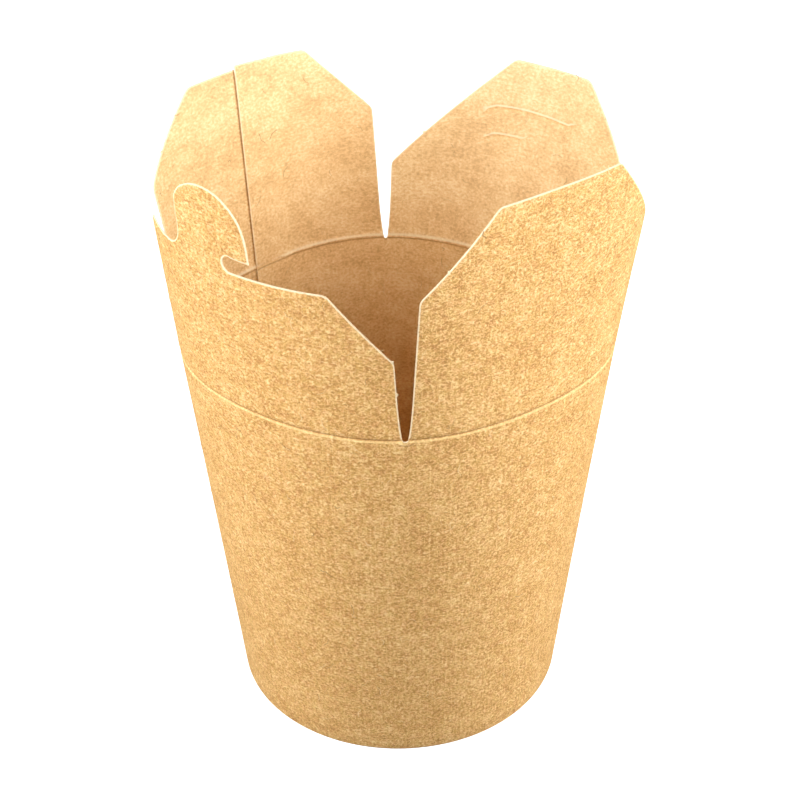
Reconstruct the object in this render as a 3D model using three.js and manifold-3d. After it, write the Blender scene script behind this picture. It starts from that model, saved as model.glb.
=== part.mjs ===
// Noodle takeaway box, open and empty: a tapered round wall of kraft board, glued up its back,
// a recessed base disc held in the wall's rolled hem, and four closing flaps that continue the
// wall above a pressed crease. Millimetres and radians, +Z up, standing on z = 0.
import * as THREE from "three";
import { mergeVertices } from "three/addons/utils/BufferGeometryUtils.js";
import Module from "manifold-3d";

// Board and body
const BOARD = 0.45;
const BASE_RADIUS = 40.8;
const CREASE_RADIUS = 48;
const CREASE_HEIGHT = 95.8;
const CREASE_GAP = 0.3;
const TAPER = (CREASE_RADIUS - BASE_RADIUS) / CREASE_HEIGHT;

// Rolled hem and the base disc that it holds
const HEM_HEIGHT = 6.8;
const HEM_CHAMFER = 0.3;
const DISC_HEIGHT = 7.6;
const SKIRT_FOOT = 0.8;
const GLUE_GAP = 0.15;
const CHANNEL = BOARD + 2 * GLUE_GAP;

// Handling leaves the mouth a rounded square, a little oval and a little lopsided
const SQUARENESS = 0.028;
const OVALITY = 0.033;
const OVAL_AZIMUTH = radians(34.2);
const LOPSIDEDNESS = 0.018;
const LOPSIDED_AZIMUTH = radians(28.7);

// Glued side seam at the back. Angles from it run anticlockwise: the board's end that lies outside
// comes round from beyond it and stops at OUTER_EDGE, and the end tucked inside stops at TUCKED_EDGE
const SEAM_AZIMUTH = radians(180);
const TUCKED_EDGE = radians(1.2);
const OUTER_EDGE = radians(-8.3);
const TUCK_START = radians(-18);
const EDGE_SLOPE = radians(0.1);

// Flaps, anticlockwise from the front right. Sizes are across the flap, anticlockwise, and up it
// from the crease. Lean, twist and bow say how its slope changes from the wall's over its width.
const PLAIN_FLAP = {
  name: "plain_flap",
  azimuth: radians(0),
  sides: [-36.4, 35],
  shoulder: 34.5,
  top: [-19, 16.5],
  height: 51.4,
  lean: -0.059,
  twist: 0.051,
  bow: 0.217,
};
const SLOT_FLAP = {
  name: "slot_flap",
  azimuth: radians(90),
  sides: [-38, 37.4],
  shoulder: 19.7,
  top: [-9.2, 10.4],
  height: 48.7,
  lean: 0.218,
  twist: 0.041,
  bow: -0.163,
};
const SEAM_FLAP = {
  name: "seam_flap",
  azimuth: SEAM_AZIMUTH,
  sides: [-36.4, 31],
  shoulder: 34.6,
  top: [-18.8, 13.4],
  height: 51.4,
  lean: -0.017,
  twist: 0.034,
  bow: 0.104,
};
const TONGUE_FLAP = {
  name: "tongue_flap",
  azimuth: radians(270),
  sides: [-42.5, 36.9],
  shoulder: 19,
  top: [-29, 23.3],
  height: 34.2,
  lean: -0.014,
  twist: -0.053,
  bow: -0.011,
};

// The tucked end of the board stands this much above the outer end at the top of the seam flap
const SEAM_STEP = 1.2;

// Tongue: a rounded head, hooked on the side that is right seen from outside, filleted on the other
const TONGUE_HOOKED_SIDE = 5.6;
const TONGUE_PLAIN_SIDE = -15.5;
const TONGUE_TOP = 52.3;
const CROWN_HOOKED_END = -0.7;
const CROWN_PLAIN_END = -8.7;
const HOOK_TIP = 37.6;
const HOOK_SLOT_RADIUS = 1.95;
const HOOK_SLOT_END = -0.1;
const FILLET_WIDTH = 5;
const FILLET_HEIGHT = 5.8;

// Cuts in the slot flap that take the tongue: across, up; each starts with a down-turned end
const CUT_WIDTH = 0.4;
const CUTTER_DEPTH = 3;
const UPPER_CUT = [
  [16.2, 35.9],
  [14, 37.1],
  [11.8, 37.4],
  [-5.6, 37.2],
  [-6.8, 37.3],
  [-7.6, 38],
];
const LOWER_CUT = [
  [15.6, 29],
  [13.6, 30],
  [11.2, 30.4],
  [4.8, 30.6],
];

// Fineness of the faceted surfaces
const WALL_STEP = radians(5);
const WALL_ROWS = 5;
const FLAP_STEP = radians(4.6);
const FLAP_ROWS = 4;

const KRAFT_OUTSIDE = new THREE.MeshStandardMaterial({ color: 0xd8ab69, roughness: 0.85, metalness: 0 });
const KRAFT_BASE = new THREE.MeshStandardMaterial({ color: 0xcc9c62, roughness: 0.8, metalness: 0 });

const wasm = await Module();
wasm.setup();

function radians(degrees) {
  return THREE.MathUtils.degToRad(degrees);
}

// Outside radius at the crease
function creaseRadius(azimuth) {
  const square = SQUARENESS * Math.cos(4 * azimuth - Math.PI);
  const oval = OVALITY * Math.cos(2 * (azimuth - OVAL_AZIMUTH));
  const lopsided = LOPSIDEDNESS * Math.cos(3 * (azimuth - LOPSIDED_AZIMUTH));
  return CREASE_RADIUS * (1 + square + oval + lopsided);
}

// Outside radius of the wall: round at the foot, and out of round by degrees up to the crease
function wallRadius(azimuth, z) {
  const share = z / CREASE_HEIGHT;
  const round = BASE_RADIUS + TAPER * z;
  return round * (1 + share * (creaseRadius(azimuth) / CREASE_RADIUS - 1));
}

// How far the outside and the inside of the board lie below the box's outside surface
function boardDepths(azimuth) {
  const fromSeam = THREE.MathUtils.euclideanModulo(azimuth - SEAM_AZIMUTH + Math.PI, 2 * Math.PI) - Math.PI;
  const tucking = THREE.MathUtils.clamp((fromSeam - TUCK_START) / (OUTER_EDGE - TUCK_START), 0, 1);
  const covered = THREE.MathUtils.clamp((fromSeam - OUTER_EDGE) / EDGE_SLOPE, 0, 1);
  const past = THREE.MathUtils.clamp((fromSeam - TUCKED_EDGE) / EDGE_SLOPE, 0, 1);
  const outside = BOARD * (tucking - covered);
  const inside = BOARD * (1 + tucking - past);
  return [outside, inside];
}

// Azimuths where every skin has a column, so that the seam's two edges come out sharp
function seamColumns() {
  const edges = [TUCK_START, OUTER_EDGE, OUTER_EDGE + EDGE_SLOPE, TUCKED_EDGE, TUCKED_EDGE + EDGE_SLOPE];
  return edges.map((edge) => SEAM_AZIMUTH + edge);
}

function wallAzimuths() {
  const azimuths = seamColumns();
  for (let i = 0; i * WALL_STEP < 2 * Math.PI - 1e-6; i++) {
    const azimuth = i * WALL_STEP;
    if (azimuths.every((other) => Math.abs(other - azimuth) > EDGE_SLOPE / 2)) azimuths.push(azimuth);
  }
  return azimuths.sort((a, b) => a - b);
}

function polar(radius, azimuth, z) {
  return new THREE.Vector3(radius * Math.cos(azimuth), radius * Math.sin(azimuth), z);
}

// Closed skin over a run of closed loops. A ring of loops joins up with itself; otherwise each
// end loop is closed by pairing its points from both ends.
function skin(loops, isRing) {
  const corners = [];
  const addTriangle = (a, b, c) => {
    const area = b.clone().sub(a).cross(c.clone().sub(a)).length() / 2;
    if (area > 1e-7) corners.push(a, b, c);
  };
  const addQuad = (a, b, c, d) => {
    addTriangle(a, b, c);
    addTriangle(a, c, d);
  };
  const size = loops[0].length;
  const spans = isRing ? loops.length : loops.length - 1;
  for (let i = 0; i < spans; i++) {
    const here = loops[i];
    const next = loops[(i + 1) % loops.length];
    for (let j = 0; j < size; j++) {
      const k = (j + 1) % size;
      addQuad(here[j], next[j], next[k], here[k]);
    }
  }
  if (!isRing) {
    const first = loops[0];
    const last = loops[loops.length - 1];
    for (let j = 0; j < size / 2 - 1; j++) {
      const k = size - 1 - j;
      addQuad(first[j], first[j + 1], first[k - 1], first[k]);
      addQuad(last[k], last[k - 1], last[j + 1], last[j]);
    }
  }
  return mergeVertices(new THREE.BufferGeometry().setFromPoints(corners), 1e-4);
}

function steps(from, to, count) {
  return Array.from({ length: count + 1 }, (_, i) => THREE.MathUtils.lerp(from, to, i / count));
}

// Wall: up the outside, over the cut rim, down the inside into the hem's channel, up and over the
// hem's turned-in edge and back down to the foot
function wallProfile(azimuth) {
  const [outside, inside] = boardDepths(azimuth);
  const rim = CREASE_HEIGHT - CREASE_GAP / 2;
  const at = (depth, z) => polar(wallRadius(azimuth, z) - depth, azimuth, z);
  const up = steps(HEM_CHAMFER, rim, WALL_ROWS).map((z) => at(outside, z));
  const down = steps(rim, BOARD, WALL_ROWS).map((z) => at(inside, z));
  const hemOutside = inside + CHANNEL;
  const hemInside = hemOutside + BOARD;
  return [
    at(outside + HEM_CHAMFER, 0),
    ...up,
    ...down,
    at(hemOutside, BOARD),
    at(hemOutside, HEM_HEIGHT),
    at(hemInside, HEM_HEIGHT),
    at(hemInside, HEM_CHAMFER),
    at(hemInside - HEM_CHAMFER, 0),
  ];
}

// Base: from the middle of the underside out, round the skirt in the hem's channel and back over
function baseProfile(azimuth) {
  const inside = boardDepths(azimuth)[1];
  const at = (depth, z) => polar(wallRadius(azimuth, z) - depth, azimuth, z);
  const outer = inside + GLUE_GAP;
  const inner = outer + BOARD;
  const underside = DISC_HEIGHT - BOARD;
  return [
    polar(0, azimuth, underside),
    at(inner, underside),
    at(inner, SKIRT_FOOT),
    at(outer, SKIRT_FOOT),
    at(outer, underside),
    at(inner, DISC_HEIGHT),
    polar(0, azimuth, DISC_HEIGHT),
  ];
}

// Angle round the axis of a point across and up a flap's flat outline
function turnAt(across, up) {
  return across / (CREASE_RADIUS + TAPER * up);
}

// A point of a flap: round from its middle, up from the crease and in from the outside surface
function flapPoint(flap, turn, up, depth) {
  const rise = up / Math.hypot(1, TAPER + flap.lean);
  const slope = TAPER + flap.lean + flap.twist * turn + flap.bow * turn * turn;
  const azimuth = flap.azimuth + turn;
  return polar(creaseRadius(azimuth) + slope * rise - depth, azimuth, CREASE_HEIGHT + rise);
}

// Outline across the top of a plainly cut flap, from its right side to its left
function chamferedTop(flap) {
  const [right, left] = flap.sides;
  const [topRight, topLeft] = flap.top;
  return [
    [right, flap.shoulder],
    [topRight, flap.height],
    [topLeft, flap.height],
    [left, flap.shoulder],
  ];
}

// The seam flap's top steps down where the tucked end of the board stops
function seamTop(flap) {
  const [rightCorner, topRight, topLeft, leftCorner] = chamferedTop(flap);
  const edge = (angle) => angle * (CREASE_RADIUS + TAPER * flap.height);
  return [
    rightCorner,
    topRight,
    [edge(TUCKED_EDGE), flap.height + SEAM_STEP],
    [edge(TUCKED_EDGE + EDGE_SLOPE), flap.height],
    topLeft,
    leftCorner,
  ];
}

// Tongue flap: shoulders at the height of the chamfers, and the tongue between them
function tongueTop(flap) {
  const [rightCorner, topRight, topLeft, leftCorner] = chamferedTop(flap);
  const curve = (...points) => new THREE.SplineCurve(points.map(([x, y]) => new THREE.Vector2(x, y)));
  const fillet = new THREE.EllipseCurve(
    TONGUE_PLAIN_SIDE - FILLET_WIDTH,
    flap.height + FILLET_HEIGHT,
    FILLET_WIDTH,
    FILLET_HEIGHT,
    -Math.PI / 2,
    0,
  );
  const plainSide = curve(
    [TONGUE_PLAIN_SIDE, TONGUE_TOP - 8.3],
    [TONGUE_PLAIN_SIDE + 2.2, TONGUE_TOP - 2.6],
    [CROWN_PLAIN_END, TONGUE_TOP],
  );
  const hookedSide = curve(
    [CROWN_HOOKED_END, TONGUE_TOP - 0.7],
    [TONGUE_HOOKED_SIDE - 1.2, TONGUE_TOP - 6.3],
    [TONGUE_HOOKED_SIDE - 0.1, HOOK_TIP],
  );
  const head = [fillet, plainSide, hookedSide].flatMap((part) => part.getPoints(5).map((p) => [p.x, p.y]));
  return [rightCorner, topRight, ...head, [TONGUE_HOOKED_SIDE, flap.height], topLeft, leftCorner];
}

// Adds columns to an outline, so that none is wider than a step and the seam's edges have one
function columnsOf(flap, outline) {
  const points = outline.map(([across, up]) => [turnAt(across, up), up]);
  const columns = points.flatMap((point, i) => {
    if (i === 0) return [point];
    const [fromTurn, fromUp] = points[i - 1];
    const count = Math.max(1, Math.ceil((point[0] - fromTurn) / FLAP_STEP));
    const lerp = THREE.MathUtils.lerp;
    return steps(0, 1, count).slice(1).map((t) => [lerp(fromTurn, point[0], t), lerp(fromUp, point[1], t)]);
  });
  for (const edge of seamColumns().map((azimuth) => azimuth - flap.azimuth)) {
    const next = columns.findIndex(([turn]) => turn > edge - EDGE_SLOPE / 2);
    if (next < 1 || columns[next][0] < edge + EDGE_SLOPE / 2) continue;
    const [fromTurn, fromUp] = columns[next - 1];
    const share = (edge - fromTurn) / (columns[next][0] - fromTurn);
    columns.splice(next, 0, [edge, THREE.MathUtils.lerp(fromUp, columns[next][1], share)]);
  }
  return columns;
}

// Flap: its columns run straight up from the crease, but its sides are parallel
function flapGeometry(flap, outline) {
  const columns = columnsOf(flap, outline);
  const loops = columns.map(([turn, top], i) => {
    let foot = turn;
    if (i === 0) foot = turnAt(flap.sides[0], 0);
    if (i === columns.length - 1) foot = turnAt(flap.sides[1], 0);
    const layer = (side) => steps(CREASE_GAP / 2 / top, 1, FLAP_ROWS).map((t) => {
      const here = THREE.MathUtils.lerp(foot, turn, t);
      return flapPoint(flap, here, top * t, boardDepths(flap.azimuth + here)[side]);
    });
    return [...layer(0), ...layer(1).reverse()];
  });
  return skin(loops, false);
}

function toManifold(geometry) {
  const bare = geometry.clone();
  bare.deleteAttribute("normal");
  bare.deleteAttribute("uv");
  const merged = mergeVertices(bare, 1e-4);
  const vertProperties = merged.attributes.position.array;
  const triVerts = new Uint32Array(merged.index.array);
  return new wasm.Manifold(new wasm.Mesh({ numProp: 3, vertProperties, triVerts }));
}

function cut(geometry, cutters) {
  let solid = toManifold(geometry);
  for (const cutter of cutters) solid = solid.subtract(toManifold(cutter));
  const mesh = solid.getMesh();
  const result = new THREE.BufferGeometry();
  result.setAttribute("position", new THREE.BufferAttribute(mesh.vertProperties, 3));
  result.setIndex(new THREE.BufferAttribute(mesh.triVerts, 1));
  return result;
}

// A flat outline made into a cutter that passes through a flap where it lies on it
function cutterOn(flap, shape) {
  const settings = { depth: 2 * CUTTER_DEPTH, bevelEnabled: false, curveSegments: 8 };
  const geometry = new THREE.ExtrudeGeometry(shape, settings);
  const place = geometry.attributes.position;
  for (let i = 0; i < place.count; i++) {
    const [across, up] = [place.getX(i), place.getY(i)];
    const point = flapPoint(flap, turnAt(across, up), up, CUTTER_DEPTH - place.getZ(i));
    place.setXYZ(i, point.x, point.y, point.z);
  }
  return geometry;
}

// The open slot under the tongue's hook, round at its closed end
function hookSlot(flap) {
  const outside = TONGUE_HOOKED_SIDE + 2;
  const shape = new THREE.Shape();
  shape.moveTo(outside, flap.height + 0.1);
  shape.lineTo(outside, HOOK_TIP);
  shape.lineTo(TONGUE_HOOKED_SIDE, HOOK_TIP);
  shape.absarc(HOOK_SLOT_END, flap.height + HOOK_SLOT_RADIUS, HOOK_SLOT_RADIUS, Math.PI / 2, 1.5 * Math.PI);
  shape.closePath();
  return cutterOn(flap, shape);
}

// A narrow cut along a curve through the given points
function curvedCut(flap, points) {
  const curve = new THREE.SplineCurve(points.map(([x, y]) => new THREE.Vector2(x, y)));
  const middle = curve.getSpacedPoints(14);
  const side = (sign) => middle.map((p, i) => {
    const along = curve.getTangentAt(i / 14);
    return new THREE.Vector2(p.x - along.y * sign * CUT_WIDTH / 2, p.y + along.x * sign * CUT_WIDTH / 2);
  });
  return cutterOn(flap, new THREE.Shape([...side(-1), ...side(1).reverse()]));
}

function piece(name, geometry, material) {
  const mesh = new THREE.Mesh(geometry, material);
  mesh.name = name;
  return mesh;
}

// A closing flap with the given top edge, less what the cutters take out
function closingFlap(flap, top, cutters) {
  const whole = flapGeometry(flap, top);
  const geometry = cutters.length === 0 ? whole : cut(whole, cutters);
  return piece(flap.name, geometry, KRAFT_OUTSIDE);
}

const box = new THREE.Group();
const azimuths = wallAzimuths();
const slotCuts = [UPPER_CUT, LOWER_CUT].map((points) => curvedCut(SLOT_FLAP, points));
box.add(
  piece("wall", skin(azimuths.map(wallProfile), true), KRAFT_OUTSIDE),
  piece("base", skin(azimuths.map(baseProfile), true), KRAFT_BASE),
  closingFlap(PLAIN_FLAP, chamferedTop(PLAIN_FLAP), []),
  closingFlap(SLOT_FLAP, chamferedTop(SLOT_FLAP), slotCuts),
  closingFlap(SEAM_FLAP, seamTop(SEAM_FLAP), []),
  closingFlap(TONGUE_FLAP, tongueTop(TONGUE_FLAP), [hookSlot(TONGUE_FLAP)]),
);

// The origin is on the table under the middle of the whole outline, flaps included
const middle = new THREE.Box3().setFromObject(box).getCenter(new THREE.Vector3());
box.position.set(-middle.x, -middle.y, 0);

const noodleBox = new THREE.Group();
noodleBox.add(box);

export default noodleBox;
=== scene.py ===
import math
import bmesh
import bpy
import numpy as np
from mathutils import Matrix, Vector
from mathutils.geometry import delaunay_2d_cdt


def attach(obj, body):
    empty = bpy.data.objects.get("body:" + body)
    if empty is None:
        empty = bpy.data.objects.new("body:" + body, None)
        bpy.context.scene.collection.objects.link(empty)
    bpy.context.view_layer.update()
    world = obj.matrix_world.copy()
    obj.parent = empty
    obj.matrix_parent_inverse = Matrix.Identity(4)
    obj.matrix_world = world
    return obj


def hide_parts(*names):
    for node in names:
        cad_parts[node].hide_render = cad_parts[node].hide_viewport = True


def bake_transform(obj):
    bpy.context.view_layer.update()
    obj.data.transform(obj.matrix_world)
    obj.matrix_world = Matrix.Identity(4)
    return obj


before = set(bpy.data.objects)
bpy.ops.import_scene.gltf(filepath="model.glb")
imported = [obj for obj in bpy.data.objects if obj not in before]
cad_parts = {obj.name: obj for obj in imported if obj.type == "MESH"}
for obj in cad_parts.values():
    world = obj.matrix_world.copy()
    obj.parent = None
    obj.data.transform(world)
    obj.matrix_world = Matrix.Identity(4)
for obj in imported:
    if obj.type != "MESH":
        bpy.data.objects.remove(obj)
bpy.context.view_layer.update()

# Lengths are millimetres and angles degrees until a mesh is made, which is in metres
MM = 0.001

# The tub's own axis in the frame, and the tub's driving sizes
AXIS_X, AXIS_Y = 0.2145, -4.1666
BOARD = 0.45
BASE_RADIUS = 40.8
CREASE_RADIUS = 48.0
CREASE_HEIGHT = 95.8
TAPER = (CREASE_RADIUS - BASE_RADIUS) / CREASE_HEIGHT

# Handling leaves the mouth a rounded square, a little oval and a little lopsided
SQUARENESS, SQUARE_AZIMUTH = 0.028, 45.0
OVALITY, OVAL_AZIMUTH = 0.033, 34.2
LOPSIDEDNESS, LOPSIDED_AZIMUTH = 0.018, 28.7

# Rolled hem and the base disc, whose skirt stands in the hem's channel
HEM_HEIGHT = 6.8
HEM_GAP = 0.75
DISC_HEIGHT = 7.6
SKIRT_MIDDLE, SKIRT_FOOT = 4.0, 0.8
GLUE_GAP = 0.15
SHOULDER_RADIUS = 0.7

# Glued seam: the sheet starts outside at OUTER_EDGE, goes round and ends inside at TUCKED_EDGE
SEAM_AZIMUTH = 180.0
OUTER_EDGE = -8.3
TUCKED_EDGE = 1.2
TUCK_START = -15.0
GLUE_LINE = 0.04
EDGE_LIFT = 0.12
LIFT_WIDTH = 1.6

# Where the sheet starts, its hem is wider, to take the hem of the tucked end inside it
NEST_START, NEST_END = 2.2, 10.2

# Points of the wall's mesh: turned finely in degrees at the seam, and finely in height at the crease
WALL_COLUMNS, WALL_ROWS = 250, 24
FINE_SEAM_SPAN, FINE_SEAM_STEP = 12, 0.4

# Pressed crease: a groove outside and a raised bead inside
GROOVE_DEPTH, GROOVE_HALF_WIDTH = 0.26, 0.36
BEAD_HEIGHT, BEAD_HALF_WIDTH, BEAD_RISE = 0.5, 0.55, 0.4
CREASE_ROWS = [0.12, 0.25, 0.4, 0.55, 0.72, 0.9, 1.1, 1.35, 1.7, 2.2, 3.0]

# Closing flaps. Places are across the flap, anticlockwise, and up it from the crease. The sides are
# where a flap's two sides start at the crease, the shoulders are where its sloped corners start, and
# the nicks are bits of board left on its edge where the die's blade was bridged. Lean, twist and bow
# are how far the flap slopes out: all along it, more on one side, and more towards both sides
PLAIN_FLAP = dict(
    azimuth=0.0, sides=(-36.4, 35.0), shoulders=[(-36.4, 34.5), (32.7, 32.2)], top=(-19.0, 15.9),
    height=51.4, lean=-0.059, twist=0.051, bow=0.217, nicks=[(-31.5, 40.6)])
SLOT_FLAP = dict(
    azimuth=90.0, sides=(-38.0, 37.4), shoulders=[(-38.0, 19.7), (37.5, 19.7)], top=(-9.2, 10.4),
    height=48.7, lean=0.218, twist=0.041, bow=-0.163, nicks=[(29.5, 27.1)])
SEAM_FLAP = dict(
    azimuth=180.0, sides=(-36.4, 31.0), shoulders=[(-36.6, 34.4), (33.7, 34.8)], top=(-20.4, 15.8),
    height=51.4, lean=-0.017, twist=0.034, bow=0.104, nicks=[(27.7, 40.5)])
TONGUE_FLAP = dict(
    azimuth=270.0, sides=(-42.5, 36.9), shoulders=[(-42.5, 20.0), (36.9, 19.0)], top=(-31.0, 23.3),
    height=34.2, lean=-0.014, twist=-0.053, bow=-0.011, nicks=[(36.8, 19.6), (36.8, 11.7)])
FLAPS = [PLAIN_FLAP, SLOT_FLAP, SEAM_FLAP, TONGUE_FLAP]
CORNER_RADIUS = 2.4
NICK_HEIGHT, NICK_WIDTH, NICK_REACH = 0.4, 0.8, 2.0

# The tucked layer of the seam flap rises a little towards the seam
SEAM_STEP = 1.2

# Distance between the points of a flap's mesh, along its outline and inside it
OUTLINE_STEP = 0.9
FILL_STEP = 2.0

# Slits between the flaps narrow towards the bottom, which is round and just below the crease
SLIT_NARROWING, NARROWING_HEIGHT = 0.36, 9.0
SLIT_DEPTH = 0.5

# Along a cut the board's faces are crushed a little and its film and fibres are frayed
RIM_WIDTH, RIM_CRUSH, RIM_FOOT = 0.55, 0.09, 0.3

# Tongue: a rounded head with a hook on its right side, and on its left a fillet beside a raised shoulder
TONGUE_CROWN = [(-15.5, 44.0), (-14.9, 47.6), (-12.6, 50.3), (-8.7, 52.2), (-4.5, 52.4), (-0.7, 51.2),
                (3.0, 47.9), (4.9, 43.6), (5.5, 37.6)]
HOOK_SLOT_RADIUS, HOOK_SLOT_END, HOOK_TIP_ANGLE = 1.95, -0.1, 62.0
FILLET_WIDTH, FILLET_HEIGHT, FILLET_FOOT = 5.0, 5.2, 34.8
RAISED_SHOULDER = 36.2

# Cuts that take the tongue, pressed through from outside, so their lips stand up inside
UPPER_CUT = [(15.2, 36.1), (13.4, 36.9), (11.0, 37.2), (6.0, 37.5), (-1.0, 37.4), (-6.0, 37.1),
             (-7.3, 37.5)]
LOWER_CUT = [(14.6, 29.2), (12.8, 30.1), (9.5, 30.5), (4.8, 30.7)]
CUT_WIDTH = 0.16
LIP_HEIGHT, LIP_HALF_WIDTH = 0.45, 0.5
LIP_ROWS = [0.2, 0.4, 0.65, 1.0, 1.4]

# Loose fibres that show singly. Kraft fibres are 2 to 4 mm long and 0.04 mm thick, too fine to show,
# so they are drawn thicker. Each is stretched along, aside and up by a random share of the usual size
FIBRES_PER_SQUARE_METRE = 20000
FIBRE_LENGTH, FIBRE_THICKNESS, FIBRE_CURL = 2.0, 0.1, 0.2
SMALLEST_FIBRE, LARGEST_FIBRE = (0.4, 0.5, 1.0), (1.6, 1.3, 1.0)
FIBRE_ROWS = 7


def linear(code):
    """An sRGB hex colour as linear red, green, blue and alpha."""
    levels = [int(code[i:i + 2], 16) / 255 for i in (1, 3, 5)]
    return [v / 12.92 if v <= 0.04045 else ((v + 0.055) / 1.055) ** 2.4 for v in levels] + [1.0]


def add(tree, kind, inputs=None, **settings):
    """Adds a node. inputs maps a socket's name or number to a value or to the socket that feeds it."""
    node = tree.nodes.new(kind)
    for name, value in settings.items():
        setattr(node, name, value)
    for key, value in (inputs or {}).items():
        if isinstance(value, bpy.types.NodeSocket):
            tree.links.new(value, node.inputs[key])
        else:
            node.inputs[key].default_value = value
    return node


# Shape of the sheet

def smooth_share(value, start, end):
    share = np.clip((value - start) / (end - start), 0, 1)
    return share * share * (3 - 2 * share)


def crease_radius(azimuth):
    square = SQUARENESS * np.cos(np.radians(4 * (azimuth - SQUARE_AZIMUTH)))
    oval = OVALITY * np.cos(np.radians(2 * (azimuth - OVAL_AZIMUTH)))
    lopsided = LOPSIDEDNESS * np.cos(np.radians(3 * (azimuth - LOPSIDED_AZIMUTH)))
    return CREASE_RADIUS * (1 + square + oval + lopsided)


def wall_radius(azimuth, height):
    out_of_round = crease_radius(azimuth) / CREASE_RADIUS - 1
    return (BASE_RADIUS + TAPER * height) * (1 + height / CREASE_HEIGHT * out_of_round)


def polar(radius, azimuth, height):
    angle = np.radians(azimuth)
    x, y, z = np.broadcast_arrays(radius * np.cos(angle), radius * np.sin(angle), height)
    return np.stack([x + AXIS_X, y + AXIS_Y, z], -1)


def tuck_depth(from_seam):
    """How far the inner end of the sheet lies below the outer one, and lifts off it again at its edge."""
    tucked = (BOARD + GLUE_LINE) * smooth_share(from_seam, TUCK_START, OUTER_EDGE)
    lift = EDGE_LIFT * smooth_share(from_seam, TUCKED_EDGE - LIFT_WIDTH, TUCKED_EDGE)
    return tucked + lift


def groove(above_crease):
    return GROOVE_DEPTH * np.exp(-(above_crease / GROOVE_HALF_WIDTH) ** 2)


def bead(above_crease):
    return BEAD_HEIGHT * np.exp(-((above_crease - BEAD_RISE) / BEAD_HALF_WIDTH) ** 2)


def bead_share(from_seam, tucked):
    """The crease leaves no bead where the tucked end is backed by the outer one."""
    if not tucked:
        return np.ones_like(from_seam)
    return 1 - smooth_share(from_seam, OUTER_EDGE - 2, OUTER_EDGE)


def sheet_place(azimuth, height):
    """A point's place on the flat sheet, for the patterns in the board."""
    x, y = np.broadcast_arrays(np.radians(azimuth) * CREASE_RADIUS, height)
    return np.stack([x, y, np.zeros_like(x)], -1)


def turn_at(across, up):
    return np.degrees(across / (CREASE_RADIUS + TAPER * up))


def slit_spans():
    """Azimuths of each slit's middle and half its width at the crease."""
    for first, second in zip(FLAPS, FLAPS[1:] + FLAPS[:1]):
        start = first["azimuth"] + turn_at(first["sides"][1] + SLIT_NARROWING, 0)
        turned = 360 if second["azimuth"] < first["azimuth"] else 0
        end = second["azimuth"] + turned + turn_at(second["sides"][0] - SLIT_NARROWING, 0)
        yield (start + end) / 2, (end - start) / 2


def slit_dip(azimuth):
    """How far the slits reach down into the wall below the crease."""
    offsets = [((azimuth - middle + 180) % 360 - 180) / half for middle, half in slit_spans()]
    nearest = min(abs(offset) for offset in offsets)
    return SLIT_DEPTH * math.sqrt(max(0.0, 1 - nearest ** 2))


def flap_point(flap, across, up, depth):
    turn = turn_at(across, up)
    azimuth = flap["azimuth"] + turn
    bend = np.radians(turn)
    rise = up / math.hypot(1, TAPER + flap["lean"])
    slope = TAPER + flap["lean"] + flap["twist"] * bend + flap["bow"] * bend ** 2
    return polar(crease_radius(azimuth) + slope * rise - depth, azimuth, CREASE_HEIGHT + rise)


# Meshes

OUTSIDE, INSIDE, EDGE = 0, 1, 2


def make_piece(name, points, faces, sides, places, rims, materials):
    """A mesh object from points in millimetres, with its faces' materials and its board attributes."""
    mesh = bpy.data.meshes.new(name)
    mesh.from_pydata([tuple(p) for p in np.asarray(points) * MM], [], faces)
    for material in materials:
        mesh.materials.append(material)
    mesh.polygons.foreach_set("material_index", sides)
    attribute = mesh.attributes.new("sheet", "FLOAT_VECTOR", "POINT")
    attribute.data.foreach_set("vector", (np.asarray(places) * MM).astype(np.float32).ravel())
    attribute = mesh.attributes.new("rim", "FLOAT", "POINT")
    attribute.data.foreach_set("value", np.asarray(rims, np.float32))
    mesh.validate()
    mesh.shade_smooth()
    mesh.set_sharp_from_angle(angle=math.radians(38))
    piece = bpy.data.objects.new(name, mesh)
    bpy.context.scene.collection.objects.link(piece)
    return piece


def board_from_grids(outer, inner, places, rims):
    """Points, faces and sides of a closed board between two grids of columns by rows."""
    columns, rows = outer.shape[:2]
    points = np.concatenate([outer.reshape(-1, 3), inner.reshape(-1, 3)])
    faces, sides = [], []

    def at(side, column, row):
        return side * columns * rows + column * rows + row

    def quad(a, b, c, d, side):
        faces.append((a, b, c, d))
        sides.append(side)

    for i in range(columns - 1):
        for j in range(rows - 1):
            quad(at(0, i, j), at(0, i, j + 1), at(0, i + 1, j + 1), at(0, i + 1, j), OUTSIDE)
            quad(at(1, i, j), at(1, i + 1, j), at(1, i + 1, j + 1), at(1, i, j + 1), INSIDE)
        for j, first, second in ((0, 0, 1), (rows - 1, 1, 0)):
            quad(at(first, i, j), at(first, i + 1, j), at(second, i + 1, j), at(second, i, j), EDGE)
    for j in range(rows - 1):
        quad(at(0, 0, j), at(1, 0, j), at(1, 0, j + 1), at(0, 0, j + 1), EDGE)
        i = columns - 1
        quad(at(0, i, j), at(0, i, j + 1), at(1, i, j + 1), at(1, i, j), EDGE)
    places = np.concatenate([places.reshape(-1, 3)] * 2)
    rims = np.concatenate([rims.ravel()] * 2)
    return points, faces, sides, places, rims


def hem_path(radius, depth_from, height_from, gap):
    """Depth and height down round the foot and up to the hem's edge, for one face of the board."""
    middle = depth_from + (gap + BOARD) / 2
    bend_height = height_from + (gap + BOARD) / 2
    angles = np.linspace(0, math.pi, 9)
    arc = np.stack([middle - radius * np.cos(angles), bend_height - radius * np.sin(angles)], -1)
    ply = np.linspace(bend_height, HEM_HEIGHT, 4)[1:]
    return np.concatenate([arc, np.stack([np.full(3, middle + radius), ply], -1)])


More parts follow.
